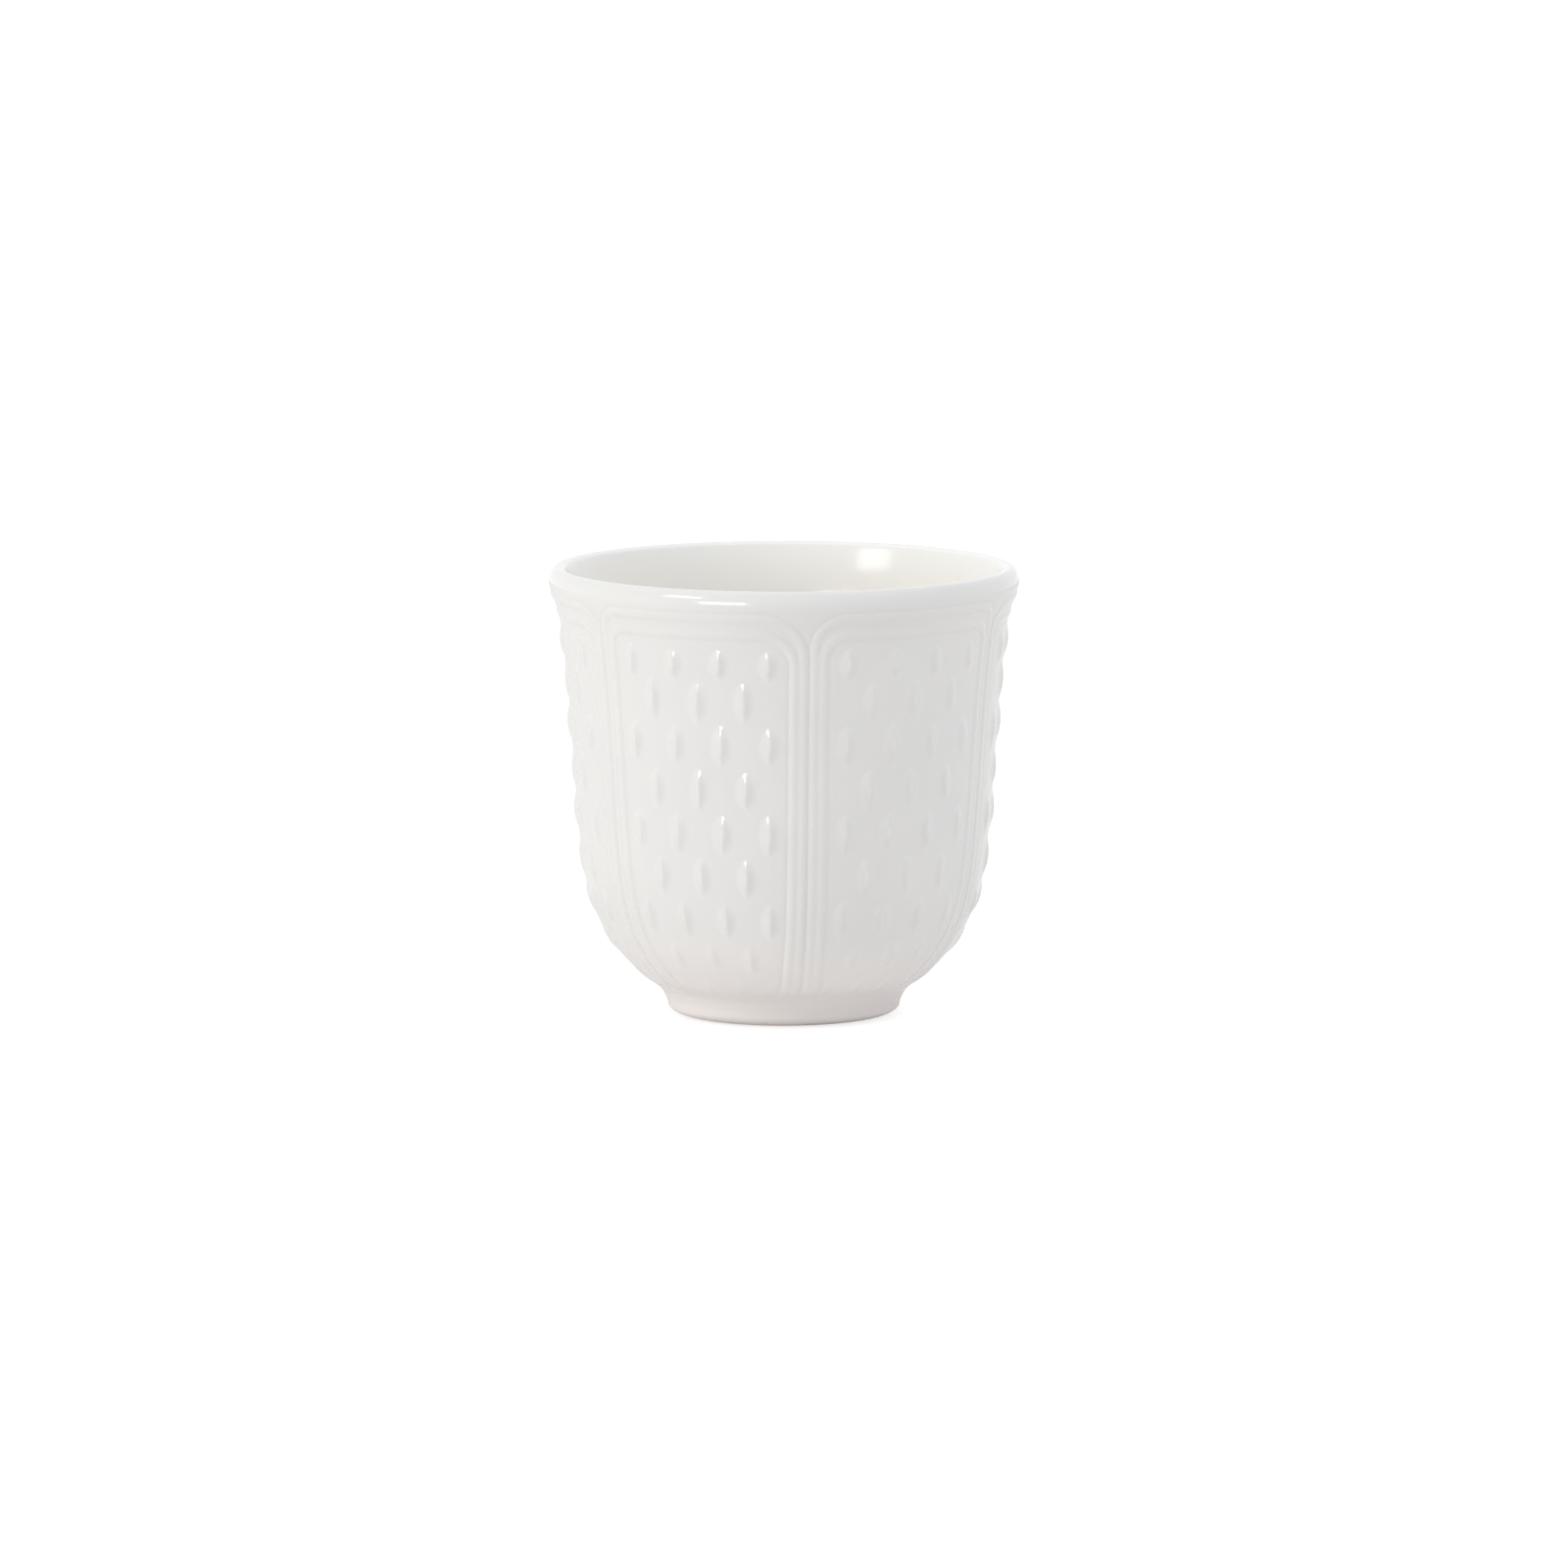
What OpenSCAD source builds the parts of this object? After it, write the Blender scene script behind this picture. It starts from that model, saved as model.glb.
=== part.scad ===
// Espresso cup without a handle, with six arched panels of barleycorn grains in relief.
// Millimetres. The foot stands on z = 0, the cup's axis is Z, and a seam between panels faces -Y.

/* [Cup] */
// Height from the table to the crest of the lip
cup_h = 62.8; // [58:0.2:72]
// Outside diameter of the lip
lip_d = 65.5; // [63:0.5:72]
// Thickness of the lip
lip_t = 2.3; // [1.9:0.1:3.2]
// Radial run of the lip's outer rounding
lip_round = 1.3; // [0.8:0.05:1.5]
// Drop from the lip's crest to its widest ring
lip_drop = 2; // [1:0.1:3]
// Drop from the lip's crest to the inside face
lip_inner_drop = 0.6; // [0.4:0.05:1.2]
// Lean of the inside at the lip, degrees from upright
lip_lean = 22; // [16:1:36]
// Drop from the lip's crest to the neck, where the flare begins
flare_h = 8.3; // [6:0.1:11]
// Outside diameter of the neck
neck_d = 62.1; // [58.5:0.1:62.8]
// Lean of the wall at the neck, degrees from upright
neck_lean = 7.4; // [3:0.2:11]
// Outside diameter of the belly, where the wall turns in
belly_d = 56.4; // [52:0.1:58]
// Height of the belly above the table
belly_h = 22.5; // [19:0.5:28]
// Lean of the wall at the belly, degrees from upright
belly_lean = 7; // [4:0.5:12]
// Thickness of the wall
wall_t = 2.5; // [2:0.1:4]
// Thickness of the floor
floor_t = 4; // [3:0.1:6]
// Thickness of the glaze that lines the inside
glaze_t = 0.3; // [0.15:0.05:0.5]

/* [Foot] */
// Height of the foot ring
foot_h = 4; // [3:0.1:5.5]
// Outside diameter of the foot ring where it carries the bowl
foot_top_d = 35; // [32:0.2:38]
// Outside diameter of the foot ring above its rounded edge
foot_d = 32.4; // [29:0.2:34]
// Width of the rounded outer edge
foot_edge_w = 3.8; // [1:0.1:4.4]
// Height of the rounded outer edge
foot_edge_h = 1.6; // [0.8:0.1:2]
// Width of the flat ring that stands on the table
stand_w = 1.6; // [1:0.1:2.4]
// Rounding of the inner edge
foot_inner_round = 1; // [0.5:0.1:1.5]
// Rise of the bowl where it leaves the foot, degrees from level
foot_rise = 34.6; // [26:0.2:44]

/* [Panel frames] */
// Width of a rib
rib_w = 1; // [0.6:0.05:1.15]
// Height of a rib above the wall
rib_h = 0.25; // [0.15:0.05:0.5]
// Distance from the seam between panels to the outer rib's crest
outer_rib_inset = 0.75; // [0.6:0.05:1]
// Distance between the crests of the two ribs at the sides
rib_gap_side = 1.25; // [1.2:0.05:1.8]
// Distance between the crests of the two ribs at the top
rib_gap_top = 2; // [1.3:0.1:2.6]
// Plain band, from the lip's crest down to the outer rib's crest
rim_band = 4.2; // [3.4:0.1:5.5]
// Corner radius of the inner rib's crest
corner_r = 3.4; // [1.6:0.1:4]
// Distance along the wall from the foot to the lower ends of the ribs
rib_start = 0.6; // [0.2:0.1:1.5]

/* [Grains] */
// Length of a grain
grain_l = 5.4; // [4:0.1:5.6]
// Width of a grain
grain_w = 2.4; // [1.6:0.1:3]
// Height of a grain above the wall
grain_h = 0.5; // [0.3:0.05:0.7]
// Length of a grain in the first row, which is kept clear of the frame's top bar
first_grain_l = 4.4; // [3.6:0.1:5]
// Distance along the wall from the inner rib's crest down to the first row
first_row = 4.2; // [3.8:0.1:4.8]
// Distance along the wall from the first row to the second
first_pitch = 5.4; // [5.2:0.1:6.4]
// Distance along the wall between the other rows
row_pitch = 6.2; // [5.9:0.1:7]
// Least distance along the wall from the foot to the middle of the last row
last_row = 2.5; // [2.3:0.1:4]
// Angle between neighbours in a row, degrees
grain_step = 13; // [11:0.5:13.4]
// Grains in a long row; the rows between have one less
row_count = 4; // [3:1:4]

/* [Hidden] */
panel_count = 6;
panel_angle = 360 / panel_count;
panel_numbers = [1 : panel_count];

$fn = 96;
// Finer circles where shallow relief meets the wall
wall_fn = 480;
grain_fn = 180;
clay_white = [0.93, 0.92, 0.89];
relief_white = [0.96, 0.95, 0.92];
glaze_ivory = [0.95, 0.94, 0.88];
bare_clay = [0.88, 0.82, 0.74];

// Steps in each curve of the outline, from the foot up
under_steps = 12;
side_steps = 8;
flare_steps = 5;
lip_steps = 6;
foot_steps = 6;
corner_steps = 5;
top_steps = 8;

// Reach of each curve's handles, as a share of the curve's height
under_reach_low = 0.52;
under_reach_high = 0.36;
side_reach_low = 0.33;
side_reach_high = 0.39;
flare_reach_low = 0.48;
flare_reach_high = 0.23;
floor_reach = 0.7;
foot_reach = 0.25;
lip_reach = 0.55;
inside_reach_high = 0.33;
inside_reach_low = 0.4;

lip_r = lip_d / 2;
neck_h = cup_h - flare_h;
lip_top = cup_h - lip_drop;
floor_top = foot_h + floor_t;
foot_stand_r = foot_d / 2 - foot_edge_w;
foot_inner_r = foot_stand_r - stand_w - foot_inner_round;
// Step along the wall over which its lean is measured
lean_step = 0.4;
// A sliver by which cutting solids pass the faces they cut
overshoot = 1;

// Curves

function bezier(a, b, c, d, t) =
    pow(1 - t, 3) * a + 3 * t * pow(1 - t, 2) * b + 3 * t * t * (1 - t) * c + pow(t, 3) * d;
function bezier_points(a, b, c, d, steps) = [for (i = [0 : steps]) bezier(a, b, c, d, i / steps)];
function round_points(centre, run, rise, from, to, steps) = [
    for (i = [0 : steps])
        let (t = from + (to - from) * i / steps) centre + [run * cos(t), rise * sin(t)]
];
function without_first(points) = [for (i = [1 : len(points) - 1]) points[i]];
function reversed(points) = [for (i = [len(points) - 1 : -1 : 0]) points[i]];
function leaning(angle) = [sin(angle), cos(angle)];

// Outline of the outside wall, as radius and height, from the foot to the lip's widest ring

foot_point = [foot_top_d / 2, foot_h];
belly_point = [belly_d / 2, belly_h];
neck_point = [neck_d / 2, neck_h];
lip_point = [lip_r, lip_top];
under_h = belly_h - foot_h;
side_h = neck_h - belly_h;
flare_run = lip_top - neck_h;
foot_way = [cos(foot_rise), sin(foot_rise)];

wall_outline = concat(
    bezier_points(
        foot_point,
        foot_point + under_h * under_reach_low * foot_way,
        belly_point - under_h * under_reach_high * leaning(belly_lean),
        belly_point,
        under_steps
    ),
    without_first(bezier_points(
        belly_point,
        belly_point + side_h * side_reach_low * leaning(belly_lean),
        neck_point - side_h * side_reach_high * leaning(neck_lean),
        neck_point,
        side_steps
    )),
    without_first(bezier_points(
        neck_point,
        neck_point + flare_run * flare_reach_low * leaning(neck_lean),
        lip_point - [0, flare_run * flare_reach_high],
        lip_point,
        flare_steps
    ))
);

// Rounded lip, from its widest ring over the crest to the inside
lip_crest = [lip_r - lip_round, cup_h];
inner_lip = [lip_r - lip_t, cup_h - lip_inner_drop];
lip_outline = concat(
    without_first(round_points([lip_r - lip_round, lip_top], lip_round, lip_drop, 0, 90, lip_steps)),
    without_first(bezier_points(
        lip_crest,
        lip_crest - [(lip_t - lip_round) * lip_reach, 0],
        inner_lip + lip_inner_drop * lip_reach * leaning(lip_lean),
        inner_lip,
        lip_steps
    ))
);

// Outline of the hollow, from the lip down to the middle of the floor
inner_neck = neck_point - [wall_t, 0];
inner_belly = belly_point - [wall_t, 0];
inner_floor = [0, floor_top];
hollow_h = belly_h - floor_top;
inner_flare_run = inner_lip[1] - neck_h;

hollow_outline = concat(
    bezier_points(
        inner_lip,
        inner_lip - inner_flare_run * inside_reach_high * leaning(lip_lean),
        inner_neck + inner_flare_run * inside_reach_low * leaning(neck_lean),
        inner_neck,
        flare_steps
    ),
    without_first(bezier_points(
        inner_neck,
        inner_neck - side_h * side_reach_high * leaning(neck_lean),
        inner_belly + side_h * side_reach_low * leaning(belly_lean),
        inner_belly,
        side_steps
    )),
    without_first(bezier_points(
        inner_belly,
        inner_belly - hollow_h * floor_reach * leaning(belly_lean),
        inner_floor + [inner_belly[0] * floor_reach, 0],
        inner_floor,
        under_steps
    ))
);

// The hollow's outline moved inwards by the thickness of the glaze, which runs out at the lip
function way_in(points, i) =
    let (
        a = points[i - 1],
        b = points[min(i + 1, len(points) - 1)],
        run = (b - a) / norm(b - a)
    ) i == len(points) - 1 ? [0, 1] : [run[1], -run[0]];
glaze_face = [
    for (i = [1 : len(hollow_outline) - 1])
        hollow_outline[i] + glaze_t * min(1, i / flare_steps) * way_in(hollow_outline, i)
];

// Places on the outside wall, by the distance along it from the foot

wall_runs = [
    for (i = 0, run = 0; i < len(wall_outline);
        run = run + norm(wall_outline[min(i + 1, len(wall_outline) - 1)] - wall_outline[i]), i = i + 1) run
];
radius_by_run = [for (i = [0 : len(wall_runs) - 1]) [wall_runs[i], wall_outline[i][0]]];
height_by_run = [for (i = [0 : len(wall_runs) - 1]) [wall_runs[i], wall_outline[i][1]]];
run_by_height = [for (i = [0 : len(wall_runs) - 1]) [wall_outline[i][1], wall_runs[i]]];

function wall_point(run) = [lookup(run, radius_by_run), lookup(run, height_by_run)];
function wall_lean(run) =
    let (way = wall_point(run + lean_step) - wall_point(run - lean_step)) atan2(way[0], way[1]);
// A point in space at an azimuth from -Y, a distance along the wall and a height above it
function on_wall(azimuth, run, rise) =
    let (p = wall_point(run), lean = wall_lean(run), r = p[0] + rise * cos(lean))
        [r * sin(azimuth), -r * cos(azimuth), p[1] - rise * sin(lean)];

outer_top = lookup(cup_h - rim_band, run_by_height);
inner_top = outer_top - rib_gap_top;
outer_corner_r = corner_r + (rib_gap_side + rib_gap_top) / 2;

// Ribs: a half path is a list of [azimuth from the panel's middle, run, way out of the panel]

function seam_azimuth(inset, run) = panel_angle / 2 - asin(inset / wall_point(run)[0]);
function half_path(inset, top, corner) =
    let (
        side_runs = concat(
            [rib_start],
            [for (run = wall_runs) if (run > rib_start + lean_step && run < top - corner - lean_step) run]
        ),
        bend = [for (i = [0 : corner_steps]) 90 * i / corner_steps],
        bar_azimuth = seam_azimuth(inset + corner, top)
    )
    concat(
        [for (run = side_runs) [seam_azimuth(inset, run), run, [1, 0]]],
        [
            for (t = bend)
                let (run = top - corner * (1 - sin(t)))
                    [seam_azimuth(inset + corner * (1 - cos(t)), run), run, [cos(t), sin(t)]]
        ],
        [for (i = [1 : top_steps]) [bar_azimuth * (1 - i / top_steps), top, [0, 1]]]
    );
function mirrored(path) = [for (s = reversed(path)) [-s[0], s[1], [-s[2][0], s[2][1]]]];
function whole_path(half) = concat(half, without_first(mirrored(half)));

// Half round of a rib, as shares of its half width and of its height
rib_section = [[-1, 0], [-0.6, 0.75], [0, 1], [0.6, 0.75], [1, 0]];
function rib_ring(station, turn) = [
    for (q = rib_section)
        let (
            across = q[0] * rib_w / 2,
            run = station[1] + across * station[2][1],
            swing = across * station[2][0] / wall_point(run)[0] * 180 / PI
        ) on_wall(turn + station[0] + swing, run, q[1] * rib_h)
];

module rib(inset, top, corner, turn) {
    path = whole_path(half_path(inset, top, corner));
    n = len(rib_section);
    last = len(path) - 1;
    points = [for (s = path) each rib_ring(s, turn)];
    sides = [
        for (i = [0 : last - 1])
            for (j = [0 : n - 1])
                [i * n + j, i * n + (j + 1) % n, (i + 1) * n + (j + 1) % n, (i + 1) * n + j]
    ];
    first_end = [for (j = [n - 1 : -1 : 0]) j];
    last_end = [for (j = [0 : n - 1]) last * n + j];
    polyhedron(points, concat(sides, [first_end, last_end]), convexity = 8);
}

// Grains: a long grain is a lens turned about its own length, sunk until only its cap stands out

first_run = inner_top - first_row;
second_run = first_run - first_pitch;
row_total = 2 + floor((second_run - last_row) / row_pitch);
function row_run(row) = row == 0 ? first_run : second_run - (row - 1) * row_pitch;
function row_scale(row) = min(1, wall_point(row_run(row))[0] / (belly_d / 2));
function row_length(row) = row == 0 ? first_grain_l : grain_l * row_scale(row);
function in_row(row) = row_count - row % 2;

module grain(length, width, height) {
    arc_r = (pow(length / 2, 2) + pow(height, 2)) / (2 * height);
    waist_r = (pow(width / 2, 2) + pow(height, 2)) / (2 * height);
    $fn = grain_fn;
    translate([height - waist_r, 0, 0])
        rotate_extrude()
            intersection() {
                translate([waist_r - arc_r, 0])
                    circle(r = arc_r);
                translate([0, -arc_r])
                    square([waist_r + overshoot, 2 * arc_r]);
            }
}

module grain_on_wall(azimuth, row) {
    run = row_run(row);
    p = wall_point(run);
    rotate([0, 0, azimuth - 90])
        translate([p[0], 0, p[1]])
            rotate([0, wall_lean(run), 0])
                grain(row_length(row), grain_w * row_scale(row), grain_h * row_scale(row));
}

// The space inside the outside wall, which the relief stands on
module wall_solid() {
    rotate_extrude($fn = wall_fn)
        polygon(concat([[0, foot_h]], wall_outline, [[0, lip_top]]));
}

// Sub-parts

module bowl() {
    color(clay_white)
        rotate_extrude()
            polygon(concat([[0, foot_h]], wall_outline, lip_outline, without_first(hollow_outline)));
}

module foot_ring() {
    side_foot = [foot_d / 2, foot_edge_h];
    side_h = foot_h - foot_edge_h;
    color(bare_clay)
        rotate_extrude()
            polygon(concat(
                round_points(
                    [foot_inner_r + foot_inner_round, foot_inner_round],
                    foot_inner_round, foot_inner_round, 180, 270, foot_steps
                ),
                round_points([foot_stand_r, foot_edge_h], foot_edge_w, foot_edge_h, 270, 360, foot_steps),
                without_first(bezier_points(
                    side_foot,
                    side_foot + [0, side_h * foot_reach],
                    foot_point - side_h * foot_reach * foot_way,
                    foot_point,
                    foot_steps
                )),
                [[foot_inner_r, foot_h]]
            ));
}

module inner_glaze() {
    color(glaze_ivory)
        rotate_extrude()
            polygon(concat(hollow_outline, reversed(glaze_face)));
}

function panel_turn(k) = (k - 0.5) * panel_angle;

module panel_frame(k) {
    color(relief_white) {
        rib(outer_rib_inset, outer_top, outer_corner_r, panel_turn(k));
        rib(outer_rib_inset + rib_gap_side, inner_top, corner_r, panel_turn(k));
    }
}

module panel_grains(k) {
    color(relief_white)
        difference() {
            for (row = [0 : row_total - 1])
                for (j = [0 : in_row(row) - 1])
                    grain_on_wall(panel_turn(k) + (j - (in_row(row) - 1) / 2) * grain_step, row);
            wall_solid();
        }
}

bowl();
foot_ring();
inner_glaze();
for (k = panel_numbers) {
    panel_frame(k);
    panel_grains(k);
}
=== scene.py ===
import math

import bpy
import numpy as np
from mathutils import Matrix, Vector


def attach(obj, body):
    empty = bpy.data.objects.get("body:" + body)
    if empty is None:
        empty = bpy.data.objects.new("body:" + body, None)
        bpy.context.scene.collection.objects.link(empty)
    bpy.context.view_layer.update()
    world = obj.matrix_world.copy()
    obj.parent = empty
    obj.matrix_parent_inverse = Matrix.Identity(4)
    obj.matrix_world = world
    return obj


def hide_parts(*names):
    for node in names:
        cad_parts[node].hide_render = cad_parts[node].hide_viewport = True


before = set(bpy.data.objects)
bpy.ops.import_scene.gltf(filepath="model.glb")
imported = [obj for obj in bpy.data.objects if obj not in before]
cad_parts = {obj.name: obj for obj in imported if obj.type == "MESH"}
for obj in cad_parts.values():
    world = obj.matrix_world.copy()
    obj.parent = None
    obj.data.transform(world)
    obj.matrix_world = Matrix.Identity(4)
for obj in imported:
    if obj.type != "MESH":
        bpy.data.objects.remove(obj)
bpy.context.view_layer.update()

# Lengths in this script are millimetres, and meshes are written in metres
MM = 0.001
TINY = 0.01
# Keeps a face without area from a division by zero
LEAST_LENGTH = 1e-12

# Reading the solids: decimals that tell rings apart, the least turn of a corner in radians,
# and the points of a lookup
RING_DIGITS = 4
LEAST_TURN = 1e-3
LOOKUP_POINTS = 4000
# The wall is over 2 mm thick, so a ring this far outside the lining is on the outside
WELL_OUT = 1.0

# Panels, as in the solids: panel k has its middle at (k - 0.5) * 60 degrees from -Y
PANELS = 6
PANEL_ANGLE = 2 * math.pi / PANELS

# Ribs round each panel, where pairs are for the outer one and the inner one.
# Insets are from the seam, and drops from the lip's crest to the bar across the top
RIB_H = 0.17
RIB_HALF_W = 0.74
RIB_SOFT = 0.03
RIB_INSETS = (0.75, 2.0)
RIB_DROPS = (3.85, 6.35)
RIB_CORNERS = (4.4, 3.4)
# Distances from the foot between which the ribs rise to their full height
RIB_FADE = (0.2, 4.0)
# Share of that height which the bars across the top have, and the length over which the ribs
# come down to it
RIB_TOP_SHARE = 0.7
RIB_TOP_TURN = 3.0

# Left and right corner of each panel, as shares of those sizes, because no two are bent quite alike
CORNER_BENDS = ((1.05, 0.85), (0.9, 1.0), (1.05, 0.95), (0.95, 1.05), (1.0, 0.9), (0.75, 1.35))

# Groove that follows the outer rib on its outside and becomes the seam between panels,
# and a shallower one along the inside of the inner rib
GROOVE_DEPTH = 0.06
GROOVE_OUT = 0.78
GROOVE_HALF_W = 0.3
INNER_GROOVE_SHARE = 0.6

# Height of the ring by whose radius the grains are sized and the columns of a panel are spaced
BELLY_H = 22.5

# Grains, in staggered rows: the first lies below the inner rib's bar, and the last keeps off the foot
GRAIN_L = 6.0
FIRST_GRAIN_L = 5.0
GRAIN_W = 3.6
GRAIN_H = 0.44
GRAIN_STEP = math.radians(13)
ROW_COUNTS = (4, 3)
FIRST_ROW = 4.31
FIRST_PITCH = 5.15
ROW_PITCH = 6.2
LAST_ROW = 2.5
# Form of a grain: the share of its length above the highest point, the powers by which its ridge falls
# above and below that point, the power that hollows its flanks, and how round its ridge is
GRAIN_TOP_SHARE = 0.45
TOP_BEND = 1.6
BOTTOM_BEND = 2.2
FLANK_BEND = 2.0
RIDGE_ROUND = 0.12
# Distances from the foot between which the grains rise to their full height
GRAIN_FADE = (-4.0, 22.0)

# Small differences between grains: shifts of their places, and shares of their sizes
SEED = 7
GRAIN_SHIFT = 0.12
GRAIN_SPREAD = 0.08

# Slow waves in the glaze: their height and number, how many crests each has round the cup, how much
# it slants at most, in radians for each millimetre upwards, and where they die away at foot and rim
WAVE_H = 0.005
WAVE_COUNT = 14
WAVE_TURNS = (3, 24)
WAVE_SLANT = 0.7
WAVE_END = 4.0

# Grid of a panel: fine columns over the ribs, fine rows over the top of the frame
RIB_ZONE = 2.9
FINE_STEP = 0.1
FIELD_STEP = 0.2
TOP_ZONE = 8.0
# A panel's back, which lies this far behind the skin, has one step for so many of the front
PLATE_T = 0.6
BACK_RATIO = 6

# Height of the line where the panels end and the rim begins, below the lip's crest
RIM_DROP = 2.5

# Turned pieces: columns round the cup, and steps along their outlines
ROUND_COLUMNS = 384
RIM_STEP = 0.15
LINING_STEP = 0.5
FOOT_STEP = 0.12
HIDDEN_POINTS = 90
FOOT_ROUND_POINTS = 13
# Length from the lip over which the lining grows to its full thickness
LINING_TAPER = 7.0
# Gap by which the clay stays behind the lining, and the length from the lip over which it opens
HIDDEN_GAP = 0.05
HIDDEN_TAPER = 1.0

# Shares of a piece's map: upwards, and across a panel's outside, edges and back
MAP_UP = (0.01, 0.99)
MAP_FRONT = (0.01, 0.86)
MAP_EDGE = (0.875, 0.885)
MAP_BACK = (0.895, 0.99)


# Outlines read from the solids


def rings(node):
    """Radius and height of each ring of a turned node, in order of their sum."""
    points = np.array([v.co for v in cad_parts[node].data.vertices], float) / MM
    pairs = np.column_stack([np.hypot(points[:, 0], points[:, 1]), points[:, 2]])
    pairs = np.unique(np.round(pairs, RING_DIGITS), axis=0)
    return pairs[np.argsort(pairs.sum(1))]


def corners(points):
    """The points in order, without doubles and without those in line with their neighbours."""
    kept = [points[0]]
    for p in points[1:]:
        if np.hypot(*(p - kept[-1])) > TINY:
            kept.append(p)
    ways = [math.atan2(*(b - a)) for a, b in zip(kept, kept[1:])]
    inner = [p for p, a, b in zip(kept[1:], ways, ways[1:]) if abs(b - a) > LEAST_TURN]
    return np.array([kept[0], *inner, kept[-1]])


class Curve:
    """A natural cubic spline through points, by the distance along their chords."""

    def __init__(self, points):
        self.points = np.asarray(points, float)
        steps = np.hypot(*np.diff(self.points, axis=0).T)
        self.runs = np.concatenate([[0], np.cumsum(steps)])
        count = len(self.points)
        matrix = np.eye(count)
        bends = np.zeros_like(self.points)
        for i in range(1, count - 1):
            before, after = steps[i - 1], steps[i]
            matrix[i, i - 1 : i + 2] = before, 2 * (before + after), after
            bends[i] = 6 * (
                (self.points[i + 1] - self.points[i]) / after
                - (self.points[i] - self.points[i - 1]) / before
            )
        self.bends = np.linalg.solve(matrix, bends)

    def at(self, run):
        """Points at distances along the curve, as radius and height."""
        run = np.asarray(run, float)
        i = np.clip(np.searchsorted(self.runs, run) - 1, 0, len(self.runs) - 2)
        step = (self.runs[i + 1] - self.runs[i])[..., None]
        b = (run[..., None] - self.runs[i][..., None]) / step
        a = 1 - b
        bend = (a**3 - a) * self.bends[i] + (b**3 - b) * self.bends[i + 1]
        return a * self.points[i] + b * self.points[i + 1] + bend * step**2 / 6

    def normal(self, run):
        """Unit normal on the right of the way along the curve, as radius and height."""
        way = self.at(np.asarray(run) + TINY) - self.at(np.asarray(run) - TINY)
        way /= np.linalg.norm(way, axis=-1, keepdims=True)
        return np.stack([way[..., 1], -way[..., 0]], -1)

    def run_at_height(self, height, low, high):
        """Distance along the curve at a height, between two distances where it only rises."""
        runs = np.linspace(low, high, LOOKUP_POINTS)
        return float(np.interp(height, self.at(runs)[:, 1], runs))


def foot_lines():
    """Outlines of the foot ring: its standing face, inner side and outer side."""
    foot = rings("foot_ring")
    radius, height = foot.T
    stand = foot[height < TINY]
    on_top = height > height.max() - TINY
    outermost = radius > radius.max() - TINY
    on_side = (radius > stand[:, 0].max() - TINY) & (~on_top | outermost)
    return {
        "stand": stand,
        "foot_inner": foot[radius < stand[:, 0].min() + TINY],
        "foot": corners(foot[on_side]),
    }


def bowl_lines(foot_top):
    """Outlines of the bowl: its wall, lip and hollow, and the thickness of its lining."""
    bowl, lining = rings("bowl"), rings("inner_glaze")
    radius, height = bowl.T
    widest_h = height[np.argmax(radius)]
    lip_in = lining[np.argmax(lining[:, 0])]
    by_height = lining[np.argsort(lining[:, 1])]
    inside_r = np.interp(height, by_height[:, 1], by_height[:, 0], left=0)
    well_out = radius > inside_r + WELL_OUT
    above_lining = height > lip_in[1] + TINY
    wall = bowl[well_out & (height < widest_h + TINY)]
    lip = bowl[(height > widest_h + TINY) & (well_out | above_lining)]
    hollow = bowl[~well_out & (height < lip_in[1] - TINY) & (height > foot_top + TINY)]
    on_axis = lining[lining[:, 0] < TINY]
    return {
        "wall": corners(wall),
        "lip": lip[np.argsort(-lip[:, 0])],
        "hollow": corners(np.vstack([hollow, lip_in]))[::-1],
        "glaze_t": float(np.ptp(on_axis[:, 1])),
    }


def smooth_step(x, low, high):
    """A share that goes from 0 at low to 1 at high, level at both ends."""
    t = np.clip((x - low) / (high - low), 0, 1)
    return t * t * (3 - 2 * t)


def lining_face():
    """The hollow's outline moved in by the lining, which starts at nothing at the lip."""
    grown = smooth_step(HOLLOW.runs, 0, LINING_TAPER) * LINES["glaze_t"]
    face = HOLLOW.points + HOLLOW.normal(HOLLOW.runs) * grown[:, None]
    face[-1] = HOLLOW.points[-1] + (0, LINES["glaze_t"])
    return face


LINES = foot_lines()
LINES.update(bowl_lines(foot_top=LINES["foot"][-1][1]))
HOLLOW = Curve(LINES["hollow"])

# The skin runs from the foot's outer edge over the lip to the middle of the floor,
# and one point beyond the middle makes it level there
LINED = lining_face()
BEYOND = LINED[-2] * (-1, 1)
SKIN = Curve(np.vstack([LINES["foot"][:-1], LINES["wall"], LINES["lip"], LINED, BEYOND]))

# Distances along the skin: to the ends of the foot and the wall, the start of the lining,
# and the middle of the floor
WALL_START = len(LINES["foot"]) - 1
LIP_START = WALL_START + len(LINES["wall"])
FOOT_RUN = SKIN.runs[WALL_START]
WIDEST_RUN = SKIN.runs[LIP_START - 1]
LIP_IN_RUN = SKIN.runs[LIP_START + len(LINES["lip"])]
END_RUN = SKIN.runs[-2]


def wall_run(height):
    """Distance along the skin to the point of the outside at a height."""
    return SKIN.run_at_height(height, FOOT_RUN, WIDEST_RUN)


CREST_R, CREST_H = LINES["lip"][np.argmax(LINES["lip"][:, 1])]
RIM_RUN = wall_run(CREST_H - RIM_DROP)
BELLY_R = float(SKIN.at(wall_run(BELLY_H))[0])
BELLY_HALF_W = BELLY_R * PANEL_ANGLE / 2

# The inner rib's bar is set off from the outer one along the wall
OUTER_BAR_RUN = wall_run(CREST_H - RIB_DROPS[0])
RIB_RUNS = (OUTER_BAR_RUN, OUTER_BAR_RUN - (RIB_DROPS[1] - RIB_DROPS[0]))


# Relief of the outside: heights above the wall


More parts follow.
